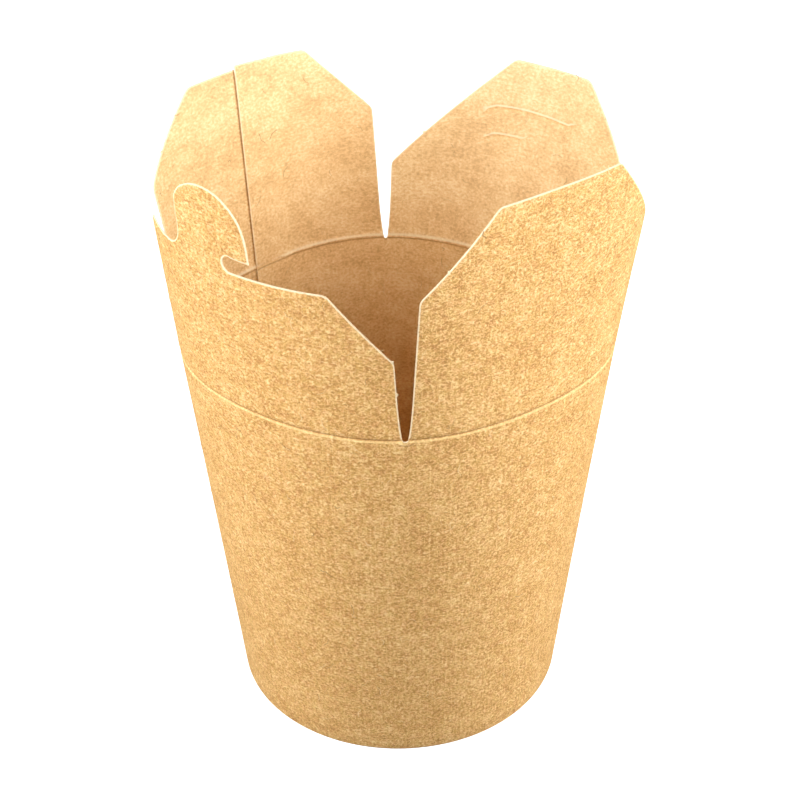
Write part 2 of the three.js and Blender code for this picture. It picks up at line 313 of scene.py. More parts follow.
def wall_heights(lowest, dip):
    fine = CREASE_HEIGHT - np.interp([0, *CREASE_ROWS], [0, CREASE_ROWS[-1]], [dip, CREASE_ROWS[-1]])
    coarse = np.linspace(fine[-1], lowest, WALL_ROWS + 2)[1:-1]
    return np.concatenate([fine, coarse])


def make_wall(materials):
    """The sheet round the tub: one strip whose two ends overlap at the seam, rolled in at the foot."""
    start = SEAM_AZIMUTH + OUTER_EDGE
    end = SEAM_AZIMUTH + 360 + TUCKED_EDGE
    round_slits = [middle - half * np.cos(np.linspace(0, math.pi, 13)) for middle, half in slit_spans()]
    columns = np.unique(np.round(np.concatenate([
        np.linspace(start, end, WALL_COLUMNS),
        np.arange(end - FINE_SEAM_SPAN, end, FINE_SEAM_STEP),
        *[azimuths + 360 * (azimuths.mean() < start) for azimuths in round_slits],
    ]), 4))
    outer, inner, places, rims = [], [], [], []
    for azimuth in columns:
        from_end = azimuth - 360 - SEAM_AZIMUTH
        from_start = azimuth - SEAM_AZIMUTH
        tuck = float(tuck_depth(np.array(from_end)))
        nested = 1 - float(smooth_share(from_start, NEST_START, NEST_END))
        gap = HEM_GAP + BOARD + 2 * (BOARD + GLUE_LINE) * nested
        half = (gap + BOARD) / 2
        lowest = tuck + half
        dip = slit_dip(azimuth)
        heights = wall_heights(lowest, dip)
        above = heights - CREASE_HEIGHT
        has_bead = float(bead_share(np.array(from_end), from_end > TUCK_START))
        outside = np.stack([tuck + groove(above), heights], -1)
        inside = np.stack([tuck + BOARD + has_bead * bead(above), heights], -1)
        inside[:, 0] = np.where(heights > CREASE_HEIGHT - 4, inside[:, 0], tuck + BOARD)
        outer_path = np.concatenate([outside, hem_path(half, tuck, tuck, gap)])
        inner_path = np.concatenate([inside, hem_path(half - BOARD, tuck, tuck, gap)])
        for grid, (depth, height) in ((outer, outer_path.T), (inner, inner_path.T)):
            grid.append(polar(wall_radius(azimuth, height) - depth, azimuth, height))
        along = np.concatenate([[0], np.cumsum(np.hypot(*np.diff(outer_path, axis=0).T))])
        places.append(sheet_place(azimuth, CREASE_HEIGHT - along))
        rim = np.full(len(along), float(azimuth in (columns[0], columns[-1])))
        rim[0] = dip > 0
        rims.append(rim)
    grids = [np.array(grid) for grid in (outer, inner, places, rims)]
    return make_piece("tub_wall", *board_from_grids(*grids), materials)


# Flat outlines

def rounded(corners, radius):
    """An open run of points with each inner corner turned into an arc."""
    run = [np.array(corners[0], float)]
    for before, corner, after in zip(corners, corners[1:], corners[2:]):
        corner = np.array(corner, float)
        back = np.array(before, float) - corner
        on = np.array(after, float) - corner
        back_length, on_length = np.linalg.norm(back), np.linalg.norm(on)
        back, on = back / back_length, on / on_length
        half_angle = math.acos(np.clip(back @ on, -1, 1)) / 2
        reach = min(radius / math.tan(half_angle), back_length / 2, on_length / 2)
        for t in np.linspace(0, 1, 6):
            a, b = corner + back * reach * (1 - t), corner + on * reach * t
            run.append(a + (b - a) * t)
    run.append(np.array(corners[-1], float))
    return run


def spline(points, count):
    """A smooth run through the given points, ends included."""
    p = [np.array(q, float) for q in points]
    p = [2 * p[0] - p[1]] + p + [2 * p[-1] - p[-2]]
    run = []
    for a, b, c, d in zip(p, p[1:], p[2:], p[3:]):
        for t in np.arange(count) / count:
            run.append(0.5 * (2 * b + (c - a) * t + (2 * a - 5 * b + 4 * c - d) * t ** 2
                              + (3 * b - a - 3 * c + d) * t ** 3))
    return run + [p[-2]]


def arc(centre_x, centre_y, radius_x, radius_y, start, end, count):
    angles = np.radians(np.linspace(start, end, count))
    x = centre_x + radius_x * np.cos(angles)
    y = centre_y + radius_y * np.sin(angles)
    return list(np.stack([x, y], -1))


def foot(side, sign):
    """Up from the crease along a flap's side, as the slit widens."""
    share = np.linspace(0, 1, 9)
    x = side + sign * SLIT_NARROWING * (1 - share) ** 2
    return list(np.stack([x, NARROWING_HEIGHT * share], -1))


def chamfered_outline(flap):
    right, left = flap["sides"]
    top = [(across, flap["height"]) for across in flap["top"]]
    right_shoulder, left_shoulder = flap["shoulders"]
    corners = [(right, NARROWING_HEIGHT), right_shoulder, *top, left_shoulder, (left, NARROWING_HEIGHT)]
    return foot(right, -1) + rounded(corners, CORNER_RADIUS) + foot(left, 1)[::-1]


def tongue_outline(flap):
    right, left = flap["sides"]
    height = flap["height"]
    fillet_start = TONGUE_CROWN[0][0] - FILLET_WIDTH
    rise = rounded([(right, NARROWING_HEIGHT), flap["shoulders"][0], (flap["top"][0], RAISED_SHOULDER),
                    (fillet_start - 3, FILLET_FOOT + 0.1), (fillet_start, FILLET_FOOT)], CORNER_RADIUS)
    fillet = arc(fillet_start, FILLET_FOOT + FILLET_HEIGHT, FILLET_WIDTH, FILLET_HEIGHT, -90, 0, 12)
    crown = spline(TONGUE_CROWN, 6)
    slot = arc(HOOK_SLOT_END, height + HOOK_SLOT_RADIUS, HOOK_SLOT_RADIUS, HOOK_SLOT_RADIUS,
               HOOK_TIP_ANGLE, 270, 14)
    fall = rounded([(HOOK_SLOT_END, height), (flap["top"][1], height), flap["shoulders"][1],
                    (left, NARROWING_HEIGHT)], CORNER_RADIUS)
    head = fillet + crown + slot
    return foot(right, -1) + rise + head + fall + foot(left, 1)[::-1]


def evenly(run, step):
    """Adds points to a run so that no stretch is longer than step, and drops doubled ones."""
    even = [run[0]]
    for point in run[1:]:
        gap = np.linalg.norm(point - even[-1])
        if gap < 0.02:
            continue
        count = max(1, math.ceil(gap / step))
        start = even[-1]
        even += [start + (point - start) * k / count for k in range(1, count + 1)]
    return np.array(even)


def nicked(outline, nicks):
    """The outline with a small bump at each nick. A layer's outline leaves out nicks that aren't on it."""
    for nick in nicks:
        distances = np.linalg.norm(outline - nick, axis=1)
        at = distances.argmin()
        if distances[at] > NICK_REACH:
            continue
        along = outline[at + 1] - outline[at - 1]
        along /= np.linalg.norm(along)
        out = np.array([-along[1], along[0]])
        bump = [outline[at] - along * NICK_WIDTH / 2, outline[at] + out * NICK_HEIGHT,
                outline[at] + along * NICK_WIDTH / 2]
        outline = np.concatenate([outline[:at], bump, outline[at + 1:]])
    return outline


def cut_outline(points):
    """The narrow outline of a cut along a smooth run, and that run."""
    middle = np.array(spline(points, 6))
    along = np.gradient(middle, axis=0)
    along /= np.linalg.norm(along, axis=1)[:, None]
    across = np.stack([-along[:, 1], along[:, 0]], -1)
    width = CUT_WIDTH / 2 * np.ones(len(middle))
    width[[0, -1]] = CUT_WIDTH / 8
    outline = np.concatenate([middle - across * width[:, None], (middle + across * width[:, None])[::-1]])
    return outline, middle, across


def distance_to(points, run):
    """Shortest distance from each point to a run of segments."""
    a, b = run[:-1], run[1:]
    ab = b - a
    t = np.clip(((points[:, None] - a) * ab).sum(-1) / np.maximum((ab ** 2).sum(-1), 1e-9), 0, 1)
    return np.linalg.norm(points[:, None] - (a + t[..., None] * ab), axis=-1).min(1)


def inside_outline(points, outline):
    x, y = points[:, 0, None], points[:, 1, None]
    x0, y0 = outline[:, 0], outline[:, 1]
    x1, y1 = np.roll(x0, -1), np.roll(y0, -1)
    crosses = (y0 > y) != (y1 > y)
    with np.errstate(divide="ignore", invalid="ignore"):
        at = x0 + (y - y0) * (x1 - x0) / (y1 - y0)
    return (crosses & (x < at)).sum(1) % 2 == 1


def fill_points(outline, cuts):
    """Points inside an outline: an even field, finer rows at the crease, and rows along the cuts."""
    low, high = outline.min(0), outline.max(0)
    rows = np.arange(CREASE_ROWS[-1] + FILL_STEP / 2, high[1], FILL_STEP)
    field = [(x, y) for y in [*CREASE_ROWS, *rows] for x in np.arange(low[0], high[0], FILL_STEP / 1.6)]
    field = np.array(field)
    closed = np.vstack([outline, outline[:1]])
    cut_sides = outline[:2 + int(np.argmax(outline[1:, 1] < 0.001))]
    clear = distance_to(field, cut_sides) > RIM_WIDTH + FILL_STEP / 4
    field = field[inside_outline(field, outline) & clear]
    along = np.roll(outline, -1, 0) - np.roll(outline, 1, 0)
    inward = np.stack([along[:, 1], -along[:, 0]], -1) / np.linalg.norm(along, axis=1)[:, None]
    ring = outline + RIM_WIDTH * inward
    apart = distance_to(ring, closed) > 0.9 * RIM_WIDTH
    ring = ring[inside_outline(ring, outline) & apart & (ring[:, 1] > RIM_FOOT)]
    field = np.concatenate([field, ring])
    for _, middle, across in cuts:
        field = field[distance_to(field, middle) > LIP_ROWS[-1] + FILL_STEP / 3]
    beside = []
    for _, middle, across in cuts:
        beside += [middle + across * side * row for row in LIP_ROWS for side in (-1, 1)]
    return np.concatenate([field, *beside])


def fill_outline(outline, cuts):
    """Triangles over an outline less its cuts, as flat points and index triples."""
    loops = [outline] + [cut for cut, _, _ in cuts]
    field = fill_points(outline, cuts)
    points = np.concatenate([*loops, field])
    edges, first = [], 0
    for loop in loops:
        count = len(loop)
        edges += [(first + i, first + (i + 1) % count) for i in range(count)]
        first += count
    flat, _, faces, *_ = delaunay_2d_cdt([Vector(p) for p in points], edges, [], 4, 1e-6)
    return np.array([tuple(p) for p in flat]), faces


def flap_sheet(flap, outline, cuts=(), tucked=False):
    """Points, faces and sides of one layer of a flap."""
    closed = nicked(evenly([*outline, outline[0]], OUTLINE_STEP)[:-1], flap["nicks"])
    flat, triangles = fill_outline(closed, cuts)
    across, up = flat.T
    from_seam = turn_at(across, up) + flap["azimuth"] - SEAM_AZIMUTH
    tuck = tuck_depth(from_seam) if tucked else np.zeros(len(flat))
    lip = np.zeros(len(flat))
    for _, middle, _ in cuts:
        lip = np.maximum(lip, LIP_HEIGHT * np.exp(-(distance_to(flat, middle) / LIP_HALF_WIDTH) ** 2))
    cut_points = np.concatenate([closed[closed[:, 1] > 0.001], *[loop for loop, _, _ in cuts]])
    rim = (np.linalg.norm(flat[:, None] - cut_points, axis=-1).min(1) < 0.001).astype(float)
    crush = RIM_CRUSH * rim
    rim = np.maximum(rim, 0.9 * (lip / LIP_HEIGHT) ** 3)
    outer = flap_point(flap, across, up, tuck + groove(up) + lip + crush)
    raised = bead_share(from_seam, tucked) * bead(up)
    inner = flap_point(flap, across, up, tuck + BOARD + lip - crush + raised)
    count = len(flat)
    faces = [tuple(face) for face in triangles]
    faces += [tuple(count + i for i in reversed(face)) for face in triangles]
    sides = [OUTSIDE] * len(triangles) + [INSIDE] * len(triangles)
    directed = {(a, b) for face in triangles for a, b in zip(face, (*face[1:], face[0]))}
    for a, b in directed:
        if (b, a) not in directed:
            faces.append((b, a, count + a, count + b))
            sides.append(EDGE)
    places = sheet_place(flap["azimuth"] + turn_at(across, up), CREASE_HEIGHT + up)
    points = np.concatenate([outer, inner])
    return points, faces, sides, np.concatenate([places] * 2), np.concatenate([rim] * 2)


def join_sheets(*sheets):
    points, faces, sides, places, rims = [], [], [], [], []
    for sheet in sheets:
        first = sum(len(p) for p in points)
        points.append(sheet[0])
        faces += [tuple(first + i for i in face) for face in sheet[1]]
        sides += sheet[2]
        places.append(sheet[3])
        rims.append(sheet[4])
    return np.concatenate(points), faces, sides, np.concatenate(places), np.concatenate(rims)


def seam_layers(flap):
    """The seam flap's two layers: the outer end of the sheet on the left, the tucked end on the right."""
    right, left = flap["sides"]
    right_shoulder, left_shoulder = flap["shoulders"]
    right_top, left_top = flap["top"]
    height = flap["height"]

    def at_edge(angle, up):
        return np.array([np.radians(angle) * (CREASE_RADIUS + TAPER * up), up])

    tucked_corners = [(right, NARROWING_HEIGHT), right_shoulder, (right_top, height),
                      at_edge(TUCKED_EDGE, height + SEAM_STEP)]
    tucked = foot(right, -1) + rounded(tucked_corners, CORNER_RADIUS) + [at_edge(TUCKED_EDGE, 0)]
    outer_corners = [at_edge(OUTER_EDGE, height), (left_top, height), left_shoulder,
                     (left, NARROWING_HEIGHT)]
    outer = [at_edge(OUTER_EDGE, 0)] + rounded(outer_corners, CORNER_RADIUS) + foot(left, 1)[::-1]
    return join_sheets(flap_sheet(flap, tucked, tucked=True), flap_sheet(flap, outer))


def make_flaps(materials):
    cuts = [cut_outline(UPPER_CUT), cut_outline(LOWER_CUT)]
    sheets = {
        "plain_flap": flap_sheet(PLAIN_FLAP, chamfered_outline(PLAIN_FLAP)),
        "slot_flap": flap_sheet(SLOT_FLAP, chamfered_outline(SLOT_FLAP), cuts),
        "seam_flap": seam_layers(SEAM_FLAP),
        "tongue_flap": flap_sheet(TONGUE_FLAP, tongue_outline(TONGUE_FLAP)),
    }
    return {name: make_piece(name + "_board", *sheet, materials) for name, sheet in sheets.items()}


def make_base(materials):
    """The base disc with its skirt turned down into the hem's channel."""
    azimuths = np.linspace(0, 360, 181)[:-1]
    shoulder = np.radians(np.linspace(90, 0, 6))
    points, faces, sides, places = [], [], [], []

    def profile(azimuth, outer_face):
        from_seam = (azimuth - SEAM_AZIMUTH + 180) % 360 - 180
        tuck = float(tuck_depth(np.array(from_seam))) if from_seam < TUCKED_EDGE + 1 else 0.0
        depth = tuck + BOARD + GLUE_GAP + (0 if outer_face else BOARD)
        top = DISC_HEIGHT - (0 if outer_face else BOARD)
        bend = SHOULDER_RADIUS - (0 if outer_face else BOARD)
        rim = wall_radius(azimuth, DISC_HEIGHT) - depth
        flat = [(share * (rim - bend), top) for share in (0.0, 0.2, 0.4, 0.6, 0.8, 0.92)]
        curved = [(rim - bend + bend * math.cos(a), top - bend + bend * math.sin(a)) for a in shoulder]
        skirt = [(wall_radius(azimuth, z) - depth, z) for z in (SKIRT_MIDDLE, SKIRT_FOOT)]
        return flat + curved + skirt

    rows = len(profile(0.0, True))
    for outer_face in (True, False):
        for azimuth in azimuths:
            for radius, height in profile(azimuth, outer_face):
                points.append(polar(radius, azimuth, height))
                places.append(points[-1] * (1, 1, 0) + (0, height - DISC_HEIGHT, 0))
    columns = len(azimuths)

    def at(side, column, row):
        return (side * columns + column % columns) * rows + row

    for i in range(columns):
        for j in range(rows - 1):
            faces.append((at(0, i, j), at(0, i, j + 1), at(0, i + 1, j + 1), at(0, i + 1, j)))
            sides.append(INSIDE)
            faces.append((at(1, i, j), at(1, i + 1, j), at(1, i + 1, j + 1), at(1, i, j + 1)))
            sides.append(OUTSIDE)
        last = rows - 1
        faces.append((at(0, i, last), at(1, i, last), at(1, i + 1, last), at(0, i + 1, last)))
        sides.append(EDGE)
    rims = np.zeros(len(points))
    piece = make_piece("base_disc", points, faces, sides, places, rims, materials)
    merge_doubles(piece)
    return piece


def merge_doubles(piece):
    work = bmesh.new()
    work.from_mesh(piece.data)
    bmesh.ops.remove_doubles(work, verts=work.verts, dist=0.01 * MM)
    work.to_mesh(piece.data)
    work.free()


def strewn_fibres(finish):
    """A node tree that strews short curled fibres, half sunk, over the faces of a sheet of board."""
    tree = bpy.data.node_groups.new("strewn_fibres", "GeometryNodeTree")
    tree.interface.new_socket("Board", in_out="INPUT", socket_type="NodeSocketGeometry")
    for size in ("Number per square metre", "Length", "Thickness", "Curl"):
        tree.interface.new_socket(size, in_out="INPUT", socket_type="NodeSocketFloat")
    tree.interface.new_socket("Seed", in_out="INPUT", socket_type="NodeSocketInt")
    tree.interface.new_socket("Fibres", in_out="OUTPUT", socket_type="NodeSocketGeometry")
    given = add(tree, "NodeGroupInput").outputs

    side = add(tree, "GeometryNodeInputMaterialIndex").outputs[0]
    on_face = add(tree, "FunctionNodeCompare", {2: side, 3: EDGE}, data_type="INT", operation="LESS_THAN")
    place = add(tree, "GeometryNodeInputPosition").outputs[0]
    height = add(tree, "ShaderNodeSeparateXYZ", {0: place}).outputs["Z"]
    off_hem = add(tree, "FunctionNodeCompare", {0: height, 1: HEM_HEIGHT * MM})
    in_sight = add(tree, "FunctionNodeBooleanMath", {0: on_face.outputs[0], 1: off_hem.outputs[0]})
    roots = add(tree, "GeometryNodeDistributePointsOnFaces", {
        "Mesh": given["Board"], "Selection": in_sight.outputs[0],
        "Density": given["Number per square metre"], "Seed": given["Seed"]}).outputs

    thickness = given["Thickness"]
    size = add(tree, "ShaderNodeCombineXYZ", {0: given["Length"], 1: thickness, 2: thickness}).outputs[0]
    straight = add(tree, "GeometryNodeMeshCube", {"Size": size, "Vertices X": FIBRE_ROWS}).outputs["Mesh"]
    along = add(tree, "ShaderNodeSeparateXYZ", {0: place}).outputs["X"]
    share = add(tree, "ShaderNodeMath", {0: along, 1: given["Length"]}, operation="DIVIDE").outputs[0]
    angle = add(tree, "ShaderNodeMath", {0: share, 1: math.tau}, operation="MULTIPLY").outputs[0]
    wave = add(tree, "ShaderNodeMath", {0: angle}, operation="COSINE").outputs[0]
    aside = add(tree, "ShaderNodeMath", {0: wave, 1: given["Curl"]}, operation="MULTIPLY").outputs[0]
    shift = add(tree, "ShaderNodeCombineXYZ", {1: aside}).outputs[0]
    curled = add(tree, "GeometryNodeSetPosition", {"Geometry": straight, "Offset": shift}).outputs[0]

    turn = add(tree, "FunctionNodeRandomValue", {2: 0.0, 3: math.tau, "Seed": given["Seed"]}).outputs[1]
    about = add(tree, "ShaderNodeCombineXYZ", {2: turn}).outputs[0]
    spun = add(tree, "FunctionNodeRotateEuler", {"Rotation": roots["Rotation"], "Rotate By": about},
               space="LOCAL").outputs[0]
    grown = add(tree, "FunctionNodeRandomValue", {
        0: SMALLEST_FIBRE, 1: LARGEST_FIBRE, "Seed": given["Seed"]}, data_type="FLOAT_VECTOR").outputs[0]
    laid = add(tree, "GeometryNodeInstanceOnPoints", {
        "Points": roots["Points"], "Instance": curled, "Rotation": spun, "Scale": grown}).outputs[0]
    real = add(tree, "GeometryNodeRealizeInstances", {0: laid}).outputs[0]
    done = add(tree, "GeometryNodeSetMaterial", {"Geometry": real, "Material": finish}).outputs[0]
    add(tree, "NodeGroupOutput", {0: done})
    return tree


def make_fibres(board, tree, seed):
    """The fibres that stand proud of a piece of board, as a plain mesh."""
    fibres = bpy.data.objects.new(board.name.replace("_board", "") + "_fibres", board.data.copy())
    bpy.context.scene.collection.objects.link(fibres)
    modifier = fibres.modifiers.new("strewn_fibres", "NODES")
    modifier.node_group = tree
    values = {"Number per square metre": FIBRES_PER_SQUARE_METRE, "Length": FIBRE_LENGTH * MM,
              "Thickness": FIBRE_THICKNESS * MM, "Curl": FIBRE_CURL * MM, "Seed": seed}
    for socket in tree.interface.items_tree:
        if socket.name in values:
            modifier[socket.identifier] = values[socket.name]
    evaluated = fibres.evaluated_get(bpy.context.evaluated_depsgraph_get())
    mesh = bpy.data.meshes.new_from_object(evaluated)
    fibres.modifiers.clear()
    fibres.data = mesh
    return fibres


# Materials

# Sizes in millimetres of what shows in the board's surface. The felted fibres are finer than the render
# shows, so they are drawn coarser, a little longer round the sheet than up it. Flocs are their clumps
FIBRE_STRETCH = 1.4
WEBS = [(0.9, 0.07), (0.7, 0.06)]
FELT_SIZE, FLOC_SIZE, CLOUD_SIZE = 0.62, 2.4, 9.0
FLOC_SHARE = 0.35
HUE_PATCH, HUE_TURN = 1.8, 8.0
FRAY_SIZE = 0.5
TORN_SIZE = 0.4
SEAM_MASK = 7.0


def new_material(name):
    material = bpy.data.materials.new(name)
    material.use_nodes = True
    tree = material.node_tree
    shader = tree.nodes["Principled BSDF"]
    return material, tree, shader


def sheet_in_millimetres(tree):
    place = add(tree, "ShaderNodeAttribute", attribute_name="sheet").outputs["Vector"]
    return add(tree, "ShaderNodeVectorMath", {0: place, 1: (1 / MM,) * 3}, operation="MULTIPLY").outputs[0]


def band(tree, value, middle, half_width):
    """1 in the middle of a band of values, and 0 outside it."""
    off = add(tree, "ShaderNodeMath", {0: value, 1: middle}, operation="SUBTRACT").outputs[0]
    distance = add(tree, "ShaderNodeMath", {0: off}, operation="ABSOLUTE").outputs[0]
    return add(tree, "ShaderNodeMapRange", {
        "Value": distance, "From Min": 0.0, "From Max": half_width, "To Min": 1.0, "To Max": 0.0},
        interpolation_type="SMOOTHSTEP").outputs["Result"]


def board_pattern(tree, web, mottle, cloud):
    """Curled fibres, felt and flocs, and clouds, each as strong as asked, added up about a half."""
    sheet = sheet_in_millimetres(tree)
    shape = (1 / FIBRE_STRETCH, 1.0, 1.0)
    place = add(tree, "ShaderNodeVectorMath", {0: sheet, 1: shape}, operation="MULTIPLY").outputs[0]
    beside = add(tree, "ShaderNodeVectorMath", {0: place, 1: (37.0, 11.0, 0.0)}, operation="ADD").outputs[0]
    value = 0.5 - 0.42 * web - ((1 + FLOC_SHARE) * mottle + cloud) / 2

    # Curled fibres are the contour lines of a noise
    for where, (size, thinness) in zip((place, beside), WEBS):
        noise = add(tree, "ShaderNodeTexNoise", {
            "Vector": where, "Scale": 1 / size, "Detail": 1.0, "Roughness": 0.5}, noise_dimensions="2D")
        fibres = band(tree, noise.outputs["Fac"], 0.5, thinness)
        value = add(tree, "ShaderNodeMath", {0: fibres, 1: web, 2: value},
                    operation="MULTIPLY_ADD").outputs[0]

    for where, size, detail, roughness, strength in (
            (place, FELT_SIZE, 2.0, 0.6, mottle),
            (beside, FLOC_SIZE, 1.0, 0.5, FLOC_SHARE * mottle),
            (beside, CLOUD_SIZE, 3.0, 0.6, cloud)):
        noise = add(tree, "ShaderNodeTexNoise", {
            "Vector": where, "Scale": 1 / size, "Detail": detail, "Roughness": roughness},
            noise_dimensions="2D")
        value = add(tree, "ShaderNodeMath", {0: noise.outputs["Fac"], 1: strength, 2: value},
                    operation="MULTIPLY_ADD").outputs[0]
    return value


def shades(tree, value, stops):
    """The colours of a pattern, from its lowest values to its highest."""
    ramp = add(tree, "ShaderNodeValToRGB", {"Fac": value})
    elements = ramp.color_ramp.elements
    while len(elements) < len(stops):
        elements.new(0.5)
    for element, (place, code) in zip(elements, stops):
        element.position = place
        element.color = linear(code)
    return ramp.outputs["Color"]


def hue_drift(tree, colour):
    """Patches where the pulp is redder or yellower."""
    patches = add(tree, "ShaderNodeTexNoise", {
        "Vector": sheet_in_millimetres(tree), "Scale": 1 / HUE_PATCH, "Detail": 2.0, "Roughness": 0.5},
        noise_dimensions="2D").outputs["Fac"]
    turn = HUE_TURN / 360
    hue = add(tree, "ShaderNodeMath", {0: patches, 1: turn, 2: 0.5 - turn / 2}, operation="MULTIPLY_ADD")
    return add(tree, "ShaderNodeHueSaturation", {"Hue": hue.outputs[0], "Color": colour}).outputs["Color"]


def painted_crease_shading(tree, colour, marks, shown=1.0):
    """Painted shade and highlight in bands along the crease, each with its height from it, half width,
    strength and colour.
    """
    up = add(tree, "ShaderNodeSeparateXYZ", {0: sheet_in_millimetres(tree)}).outputs["Y"]
    for height, half_width, strength, code in marks:
        mark = band(tree, up, CREASE_HEIGHT + height, half_width)
        share = add(tree, "ShaderNodeMath", {0: mark, 1: strength}, operation="MULTIPLY").outputs[0]
        share = add(tree, "ShaderNodeMath", {0: share, 1: shown}, operation="MULTIPLY").outputs[0]
        colour = add(tree, "ShaderNodeMix", {"Factor": share, "A": colour, "B": linear(code)},
                     data_type="RGBA").outputs["Result"]
    return colour


def frayed_rim(tree, colour, strength):
    """Beside a cut the surface is torn back to pale fibres, unevenly."""
    rim = add(tree, "ShaderNodeAttribute", attribute_name="rim").outputs["Fac"]
    tears = add(tree, "ShaderNodeTexNoise", {
        "Vector": sheet_in_millimetres(tree), "Scale": 1 / FRAY_SIZE, "Detail": 2.0, "Roughness": 0.5},
        noise_dimensions="2D").outputs["Fac"]
    ragged = add(tree, "ShaderNodeMath", {0: tears, 1: 0.5, 2: rim}, operation="MULTIPLY_ADD").outputs[0]
    share = add(tree, "ShaderNodeMapRange", {
        "Value": ragged, "From Min": 0.55, "From Max": 0.95, "To Min": 0.0, "To Max": strength},
        interpolation_type="SMOOTHSTEP").outputs["Result"]
    return add(tree, "ShaderNodeMix", {"Factor": share, "A": colour, "B": linear("#fbe9c4")},
               data_type="RGBA").outputs["Result"]


def finish_board(tree, shader, colour, pattern, roughness, gloss, grain):
    """Sets the board's colour, how rough and glossy it is, and how high its grain stands in millimetres."""
    shader.inputs["Roughness"].default_value = roughness
    shader.inputs["Specular IOR Level"].default_value = gloss
    bump = add(tree, "ShaderNodeBump", {"Height": pattern, "Distance": grain * MM, "Strength": 1.0})
    tree.links.new(bump.outputs["Normal"], shader.inputs["Normal"])
    tree.links.new(colour, shader.inputs["Base Color"])


def kraft_outside():
    """Uncoated unbleached kraft board, calendered: matt, with pale fibres felted over a darker ground."""
    material, tree, shader = new_material("kraft_uncoated_side")
    pattern = board_pattern(tree, web=0.4, mottle=1.25, cloud=0.35)
    colour = shades(tree, pattern, [(0.05, "#b38146"), (0.5, "#dba863"), (0.95, "#f5d296")])
    colour = hue_drift(tree, colour)
    # Painted shade: a dark band in the crease's groove. Painted highlight: a pale band just below it, where
    # the groove's lower slope faces up into the light
    painted_groove_shade = (0.1, 0.4, 0.5, "#94693a")
    painted_groove_highlight = (-0.5, 0.45, 0.48, "#fbdf9f")
    colour = painted_crease_shading(tree, colour, [painted_groove_shade, painted_groove_highlight])
    colour = frayed_rim(tree, colour, 0.85)
    finish_board(tree, shader, colour, pattern, roughness=0.78, gloss=0.35, grain=0.1)
    return material


def kraft_lined():
    """The same board under a thin clear film: smoother, a little redder, and softly glossy."""
    material, tree, shader = new_material("kraft_film_lined_side")
    pattern = board_pattern(tree, web=0.16, mottle=0.95, cloud=0.7)
    colour = shades(tree, pattern, [(0.05, "#cda06a"), (0.5, "#edc68b"), (0.95, "#fde4b4")])
    round_sheet = add(tree, "ShaderNodeSeparateXYZ", {0: sheet_in_millimetres(tree)}).outputs["X"]
    seam = math.radians(SEAM_AZIMUTH + OUTER_EDGE / 2) * CREASE_RADIUS
    backed = band(tree, round_sheet, seam, SEAM_MASK)
    single = add(tree, "ShaderNodeMath", {0: 1.0, 1: backed}, operation="SUBTRACT").outputs[0]
    # Painted highlight on the bead's upper slope, which faces up into the light, and painted shade below
    # the bead; both fade out over the glued seam
    painted_bead_highlight = (BEAD_RISE + 0.3, 0.5, 0.55, "#fff0cc")
    shaded = (-0.3, 0.4, 0.55, "#a87440")
    colour = painted_crease_shading(tree, colour, [painted_bead_highlight, shaded], single)
    colour = frayed_rim(tree, colour, 0.7)
    finish_board(tree, shader, colour, pattern, roughness=0.6, gloss=0.45, grain=0.015)
    return material


def cut_board_edge():
    """Where the die cut through the board: torn fibre ends, pale and quite rough."""
    material, tree, shader = new_material("cut_board_edge")
    torn = add(tree, "ShaderNodeTexNoise", {
        "Vector": sheet_in_millimetres(tree), "Scale": 1 / TORN_SIZE, "Detail": 2.0, "Roughness": 0.5},
        noise_dimensions="2D").outputs["Fac"]
    colour = shades(tree, torn, [(0.25, "#f0d6a8"), (0.6, "#fff0cf")])
    finish_board(tree, shader, colour, torn, roughness=0.9, gloss=0.5, grain=0.05)
    return material


def wood_fibre():
    """Single fibres and slivers of bark that survive pulping: a few dark, most no darker than the board."""
    material, tree, shader = new_material("coarse_wood_fibre")
    place = add(tree, "ShaderNodeAttribute", attribute_name="sheet").outputs["Vector"]
    chance = add(tree, "ShaderNodeTexWhiteNoise", {"Vector": place}, noise_dimensions="2D").outputs["Value"]
    colour = shades(tree, chance, [(0.0, "#6e4923"), (0.12, "#9a6e40"), (0.3, "#deb678"), (1.0, "#fbe3b2")])
    tree.links.new(colour, shader.inputs["Base Color"])
    shader.inputs["Roughness"].default_value = 0.85
    return material


# Stage

# The photo's camera: angles and roll in degrees, distance and aim in millimetres from the tub's foot
CAMERA_AZIMUTH, CAMERA_ELEVATION, CAMERA_ROLL = 42.96, 32.57, -0.795
CAMERA_DISTANCE = 378.87
CAMERA_LENS = 70.64
AIM_RIGHT, AIM_HEIGHT = 0.934, 75.88

# Each softbox's azimuth from the camera's, its elevation and its watts. The sizes here are in metres
SOFTBOXES = {
    "left_softbox": (-73, 23, 3.1),
    "right_softbox": (78, 21, 3.4),
    "front_softbox": (0, 25, 1.0),
    "back_softbox": (180, 25, 0.75),
}
SOFTBOX_SIZE, SOFTBOX_DISTANCE = 0.36, 0.45
WALL_GLOW, FLOOR_GLOW, HORIZON = 0.04, 0.18, 0.15
FLOOR_REACH = 40.0


def view_directions(azimuth, elevation):
    a, e = math.radians(azimuth), math.radians(elevation)
    right = Vector((math.cos(a), math.sin(a), 0))
    back = Vector((math.sin(a) * math.cos(e), -math.cos(a) * math.cos(e), math.sin(e)))
    return right, back.cross(right), back


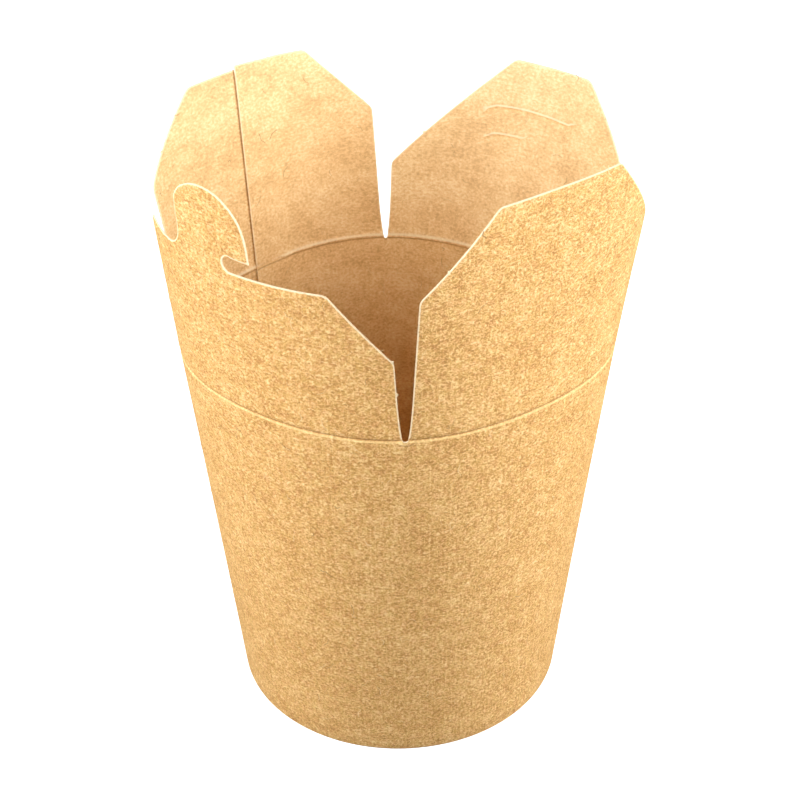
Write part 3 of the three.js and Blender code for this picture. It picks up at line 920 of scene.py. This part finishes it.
def make_camera():
    right, up, back = view_directions(CAMERA_AZIMUTH, CAMERA_ELEVATION)
    roll = math.radians(CAMERA_ROLL)
    rolled_right = right * math.cos(roll) + up * math.sin(roll)
    rolled_up = -right * math.sin(roll) + up * math.cos(roll)
    aim = Vector((AXIS_X, AXIS_Y, AIM_HEIGHT)) + right * AIM_RIGHT
    camera = bpy.data.objects.new("camera", bpy.data.cameras.new("camera"))
    camera.data.lens = CAMERA_LENS
    camera.data.sensor_width = 36
    camera.data.clip_start = 0.01
    camera.matrix_world = Matrix.Translation((aim + back * CAMERA_DISTANCE) * MM) @ Matrix(
        (rolled_right, rolled_up, back)).transposed().to_4x4()
    bpy.context.scene.collection.objects.link(camera)
    bpy.context.scene.camera = camera


def make_light(name, azimuth, elevation, watts):
    _, _, back = view_directions(azimuth, elevation)
    light = bpy.data.objects.new(name, bpy.data.lights.new(name, "AREA"))
    light.data.shape = "SQUARE"
    light.data.size = SOFTBOX_SIZE
    light.data.energy = watts
    light.location = back * SOFTBOX_DISTANCE + Vector((0, 0, AIM_HEIGHT)) * MM
    light.rotation_mode = "QUATERNION"
    light.rotation_quaternion = back.to_track_quat("Z", "Y")
    bpy.context.scene.collection.objects.link(light)


def make_world():
    """Dim walls all round, a paler floor's glow from below, and a white horizon behind the box."""
    world = bpy.data.worlds.new("studio")
    world.use_nodes = True
    tree = world.node_tree
    direction = add(tree, "ShaderNodeTexCoord").outputs["Generated"]
    height = add(tree, "ShaderNodeSeparateXYZ", {0: direction}).outputs["Z"]
    glow = add(tree, "ShaderNodeMapRange", {
        "Value": height, "From Min": HORIZON, "From Max": -HORIZON,
        "To Min": WALL_GLOW, "To Max": FLOOR_GLOW})
    seen = add(tree, "ShaderNodeLightPath").outputs["Is Camera Ray"]
    strength = add(tree, "ShaderNodeMath", {0: glow.outputs["Result"], 1: seen}, operation="MAXIMUM")
    tree.links.new(strength.outputs[0], tree.nodes["Background"].inputs["Strength"])
    tree.nodes["Background"].inputs["Color"].default_value = linear("#ffffff")
    bpy.context.scene.world = world


def make_stage():
    scene = bpy.context.scene
    scene.view_settings.view_transform = "Standard"
    make_world()
    for name, (beside, elevation, watts) in SOFTBOXES.items():
        make_light(name, CAMERA_AZIMUTH + beside, elevation, watts)
    mesh = bpy.data.meshes.new("floor")
    corners = [(x * FLOOR_REACH, y * FLOOR_REACH, 0) for x, y in ((-1, -1), (1, -1), (1, 1), (-1, 1))]
    mesh.from_pydata(corners, [], [(0, 1, 2, 3)])
    floor = bpy.data.objects.new("floor", mesh)
    scene.collection.objects.link(floor)
    material, _, shader = new_material("pale_floor")
    shader.inputs["Base Color"].default_value = linear("#c4c4c4")
    shader.inputs["Roughness"].default_value = 1.0
    shader.inputs["Emission Color"].default_value = linear("#ffffff")
    shader.inputs["Emission Strength"].default_value = 0.95
    mesh.materials.append(material)
    floor.visible_diffuse = False
    floor.visible_glossy = False


make_camera()
make_stage()
board_materials = [kraft_outside(), kraft_lined(), cut_board_edge()]

wall = make_wall(board_materials)
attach(wall, "tub")
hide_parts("wall")

base = make_base(board_materials)
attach(base, "tub")
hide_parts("base")

fibre_tree = strewn_fibres(wood_fibre())
wall_fibres = make_fibres(wall, fibre_tree, seed=1)
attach(wall_fibres, "tub")

for seed, (name, flap) in enumerate(make_flaps(board_materials).items(), start=2):
    fibres = make_fibres(flap, fibre_tree, seed)
    for piece in (flap, fibres):
        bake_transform(piece)
    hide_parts(name)
